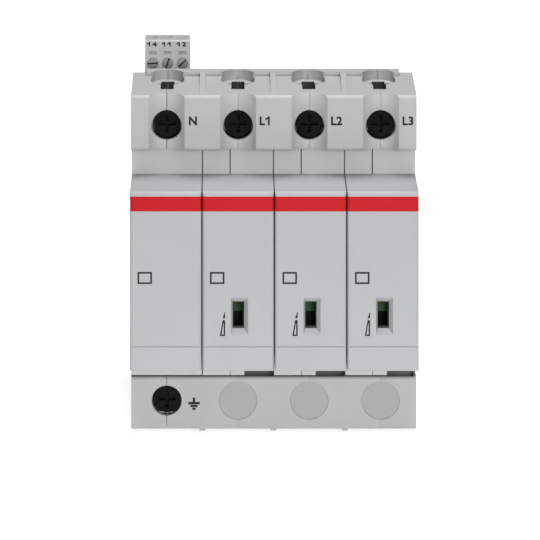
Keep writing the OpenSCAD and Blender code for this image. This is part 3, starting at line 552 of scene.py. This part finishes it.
def addLetter(text, sign, x, z, front):
    # one character of the plain font, made bold and printed upright on a front face
    clearSelection()
    bpy.ops.object.text_add(location=(0, 0, 0))
    letter = bpy.context.object
    letter.data.body = text
    letter.data.size = printing["fontSize"] * mm
    letter.data.offset = sign["bold"] * mm
    letter.data.resolution_u = printing["curveSteps"]
    bpy.ops.object.convert(target="MESH")
    letter = bpy.context.object
    heights = [v.co.y for v in letter.data.vertices]
    widths = [v.co.x for v in letter.data.vertices]
    tall = max(heights) - min(heights)
    scale = sign["height"] * mm / tall
    bpy.ops.object.mode_set(mode="EDIT")
    bpy.ops.mesh.select_all(action="SELECT")
    across = (max(widths) + min(widths)) / 2
    upwards = (max(heights) + min(heights)) / 2
    bpy.ops.transform.translate(value=(-across, -upwards, 0))
    bpy.ops.mesh.remove_doubles(threshold=printing["merge"] * mm)
    bpy.ops.mesh.extrude_region_move(TRANSFORM_OT_translate={"value": (0, 0, printing["thick"] * mm / scale)})
    bpy.ops.mesh.select_all(action="SELECT")
    bpy.ops.mesh.normals_make_consistent(inside=False)
    bpy.ops.object.mode_set(mode="OBJECT")
    letter.scale = (scale * sign["widen"], scale, scale)
    letter.rotation_euler = (math.radians(90), 0, 0)
    letter.location = (x * mm, (front + printing["sink"]) * mm, z * mm)
    settle(letter)
    return letter


figureOne = {"flagHalfWide": 0.45, "flagHalfLong": 1.05, "lean": 55}  # in line widths and degrees


def addOne(sign, x, z, front):
    # the figure 1 as a stem with its flag
    half = sign["height"] / 2
    line = sign["line"]
    flagWide = line * figureOne["flagHalfWide"]
    flagLong = line * figureOne["flagHalfLong"]
    stem = inkBar((x, z - half), (x + line, z + half), front)
    flag = inkBar((-flagWide, -flagLong), (flagWide, flagLong), front)
    flag.rotation_euler = (0, math.radians(figureOne["lean"]), 0)
    settle(flag)
    flag.location = ((x - line / 2) * mm, 0, (z + half - flagLong) * mm)
    settle(flag)
    return combine(stem, flag, "UNION")


def addSign(name, text, places, sign, body):
    pieces = []
    for character, x in zip(text, places):
        if character == "1":
            pieces.append(addOne(sign, x, sign["z"], sign["front"]))
        else:
            pieces.append(addLetter(character, sign, x, sign["z"], sign["front"]))
    finishPiece(joinPieces(pieces, name), "ink", body)


terminalSigns = {"height": 2.2, "z": 36.0, "front": upperFront, "line": 0.46, "bold": 0.36, "widen": 0.98,
                 "single": 6.56, "pair": (6.05, 7.45)}
addSign("sign_N", "N", [poleX["n"] + terminalSigns["single"]], terminalSigns, "base")
for figure, pole in zip("123", phases):
    places = [poleX[pole] + step for step in terminalSigns["pair"]]
    addSign("sign_L" + figure, "L" + figure, places, terminalSigns, "base")

waySigns = {"height": 1.16, "z": 48.26, "front": plugFront, "line": 0.36, "bold": 0.45, "widen": 1.5,
            "pair": (-1.0, 0.45)}
for way in ways:
    places = [wayX[way] + step for step in waySigns["pair"]]
    addSign("way_" + way, way, places, waySigns, "signal_plug")


# earth sign beside the lower terminal: a stem and three bars
earth = {"x": poleX["n"] + 6.81, "top": -33.65, "stem": 1.4, "bars": [2.9, 1.8, 0.8], "gap": 0.7,
         "line": 0.58, "front": lowerFront}
bars = []
for i, length in enumerate(earth["bars"]):
    z = earth["top"] - earth["stem"] - i * earth["gap"]
    bars.append(inkBar((earth["x"] - length / 2, z - earth["line"] / 2),
                       (earth["x"] + length / 2, z + earth["line"] / 2), earth["front"]))
stem = inkBar((earth["x"] - earth["line"] / 2, earth["top"] - earth["stem"]),
              (earth["x"] + earth["line"] / 2, earth["top"]), earth["front"])
combine(bars[0], stem, "UNION")
earthSign = joinPieces(bars, "earthSign")
softenEdges(earthSign, printing["soft"])
finishPiece(earthSign, "ink", "base")

# empty frame on each cartridge
frameMark = {"offset": -5.13, "width": 3.56, "height": 2.95, "z": 0.47, "line": 0.42, "front": capLow.y}
x = poleX["n"] + frameMark["offset"]
mark = inkBar((x - frameMark["width"] / 2, frameMark["z"] - frameMark["height"] / 2),
              (x + frameMark["width"] / 2, frameMark["z"] + frameMark["height"] / 2), frameMark["front"])
selectFaces(mark, lambda face: abs(face.normal.y) > facing)
bpy.ops.mesh.inset(thickness=frameMark["line"] * mm, depth=0, use_individual=True)
bpy.ops.mesh.bridge_edge_loops()  # opens the middle
softenEdges(mark, printing["soft"])
finishOnPoles(mark, "frameMark", "ink", poles)


# position wedge beside each window: a small full tip over a tall outline

def taperTop(piece, x, share):
    # narrows the top of an upright bar towards its right side
    selectFaces(piece, lambda face: face.normal.z > facing)
    bpy.ops.transform.resize(value=(share, 1, 1), center_override=(x * mm, 0, 0))
    bpy.ops.object.mode_set(mode="OBJECT")


wedge = {"offset": -3.2, "base": -13.75, "shoulder": -9.85, "wide": 1.3, "narrow": 0.6,
         "tipBase": -9.4, "tip": -7.85, "tipWide": 0.62, "point": 0.15,
         "line": 0.36, "holeTop": -10.6, "holeWide": 0.52, "through": 1.0, "front": capLow.y}
x = poleX["l1"] + wedge["offset"]
outline = inkBar((x - wedge["wide"], wedge["base"]), (x, wedge["shoulder"]), wedge["front"])
taperTop(outline, x, wedge["narrow"] / wedge["wide"])
holeX = x - wedge["line"]
holeLow = (holeX - wedge["holeWide"], wedge["front"] - wedge["through"], wedge["base"] + wedge["line"])
hole = addBlock("hole", holeLow, (holeX, wedge["front"] + wedge["through"], wedge["holeTop"]))
taperTop(hole, holeX, wedge["point"])
combine(outline, hole, "DIFFERENCE")
tip = inkBar((x - wedge["tipWide"], wedge["tipBase"]), (x, wedge["tip"]), wedge["front"])
taperTop(tip, x, wedge["point"])
finishOnPoles(joinPieces([outline, tip], "wedge"), "wedge", "ink", phases)
print("signs printed")


# floor, light and camera

def floorMaterial(look):
    # a pale table top that glows to a plain white around the part; under the part the glow is left out, which
    # paints shade there
    material, tree, shader = startMaterial("floorWhite")
    coord = tree.nodes.new("ShaderNodeTexCoord").outputs["Object"]
    cloud = noiseNode(tree, coord, look["cloud"], *look["cloudNoise"])
    colour = colourBetween(tree, cloud, look["dark"], look["light"])
    tree.links.new(colour, shader.inputs["Base Color"])
    shader.inputs["Roughness"].default_value = look["rough"]
    place = splitNode(tree, coord)
    steps = [rangeNode(tree, place["Y"], 0.0, strength, low, high) for low, high, strength in look["glow"]]
    # painted shade: the floor under the part gets no glow
    covered = look["covered"]
    beside = rangeNode(tree, mathNode(tree, "ABSOLUTE", place["X"]), 0.0, 1.0, *covered["side"])
    before = rangeNode(tree, place["Y"], 1.0, 0.0, *covered["front"])
    behind = rangeNode(tree, place["Y"], 0.0, 1.0, *covered["back"])
    clear = mathNode(tree, "MAXIMUM", mathNode(tree, "MAXIMUM", beside, before), behind)
    glow = mathNode(tree, "MULTIPLY", mathNode(tree, "ADD", *steps), clear)
    tree.links.new(glow, shader.inputs["Emission Strength"])
    shader.inputs["Emission Color"].default_value = (1.0, 1.0, 1.0, 1.0)
    return material


# in metres
floor = {"size": 6.0, "height": cadBox[0].z, "dark": (0.88, 0.88, 0.88), "light": (0.92, 0.92, 0.92),
         "cloud": 6.0, "cloudNoise": (2.0, 0.5), "rough": 0.8,
         "glow": [(-0.15, -0.112, 0.58), (0.0, 0.2, 0.42)],
         "covered": {"side": (0.024, 0.036), "front": (-0.0365, -0.0345), "back": (-0.008, 0.012)}}
clearSelection()
bpy.ops.mesh.primitive_plane_add(size=floor["size"], location=(0, 0, floor["height"]))
ground = bpy.context.object
ground.name = "floor"
settle(ground)
ground.data.materials.append(floorMaterial(floor))

studio = {"colour": (1.0, 1.0, 1.0, 1.0), "strength": 0.05}
scene = bpy.context.scene
scene.world = scene.world or bpy.data.worlds.new("studio")
scene.world.use_nodes = True
background = scene.world.node_tree.nodes["Background"]
background.inputs["Color"].default_value = studio["colour"]
background.inputs["Strength"].default_value = studio["strength"]

lights = {
    "key": {"place": (0.19, -1.1, 0.25), "size": 0.4, "power": 9.2},
    "front": {"place": (0.1, -0.75, 0.75), "size": 0.6, "power": 2.4},
    "above": {"place": (0.0, -0.065, 0.27), "size": 0.18, "power": 0.84},
}
for name, light in lights.items():
    lamp = bpy.data.lights.new(name, "AREA")
    lamp.size = light["size"]
    lamp.energy = light["power"]
    lampObject = bpy.data.objects.new(name, lamp)
    scene.collection.objects.link(lampObject)
    lampObject.location = light["place"]
    lampObject.rotation_euler = (-Vector(light["place"])).to_track_quat("-Z", "Y").to_euler()
scene.view_settings.view_transform = "Standard"
scene.view_settings.look = "None"

# view camera from above with its film upright, so that uprights stay parallel
viewCamera = {"place": (-0.0107, -0.958, 0.250), "towards": (0.010693, 1.0, -0.27507),
              "lens": 253.5, "filmWidth": 36.0, "nearest": 0.01}
cameraData = bpy.data.cameras.new("camera")
cameraData.lens = viewCamera["lens"]
cameraData.sensor_width = viewCamera["filmWidth"]
cameraData.clip_start = viewCamera["nearest"]
camera = bpy.data.objects.new("camera", cameraData)
scene.collection.objects.link(camera)
stand = bpy.data.objects.new("cameraStand", None)
scene.collection.objects.link(stand)
back = -Vector(viewCamera["towards"]).normalized()
place = viewCamera["place"]
film = Matrix(((1, 0, back.x, place[0]), (0, 0, back.y, place[1]), (0, 1, back.z, place[2]), (0, 0, 0, 1)))
camera.parent = stand
camera.matrix_parent_inverse = film
bpy.context.scene.camera = camera
print("scene lit and camera set")
